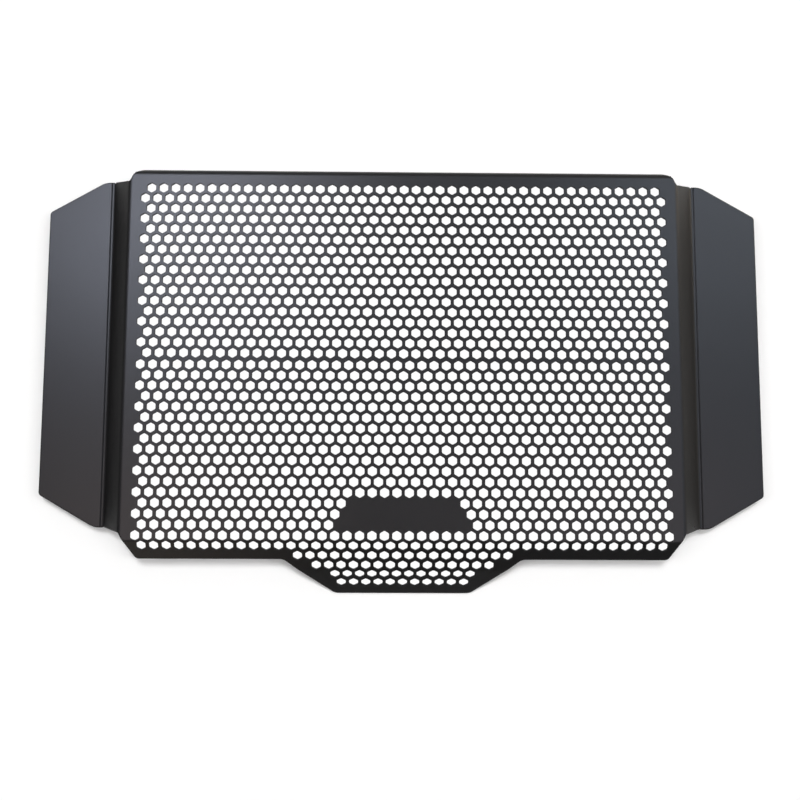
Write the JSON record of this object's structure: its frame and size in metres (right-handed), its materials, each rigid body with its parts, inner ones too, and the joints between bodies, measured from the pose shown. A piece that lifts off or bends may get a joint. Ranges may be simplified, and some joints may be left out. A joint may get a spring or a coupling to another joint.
{
  "type": "motorcycle radiator guard",
  "caption": "Perforated sheet guard for a motorcycle radiator: honeycomb panel with a plain plate, a folded lip and chin, a top flange and a stepped-back mounting wing on each side.",
  "frame": {"origin": "centre of the bounding box in X and Y, on the plane that the top flange's edge and the chin's edge rest on", "axes": "+X across the guard from wing to wing, +Y up the panel from the chin to the top flange, +Z out of the panel's front face; it lies face up"},
  "size_m": [0.416, 0.2454, 0.0198],
  "materials": {
    "powder_coated_steel": "satin"
  },
  "bodies": {
    "root": {"guard_sheet": "powder_coated_steel"}
  },
  "joints": []
}
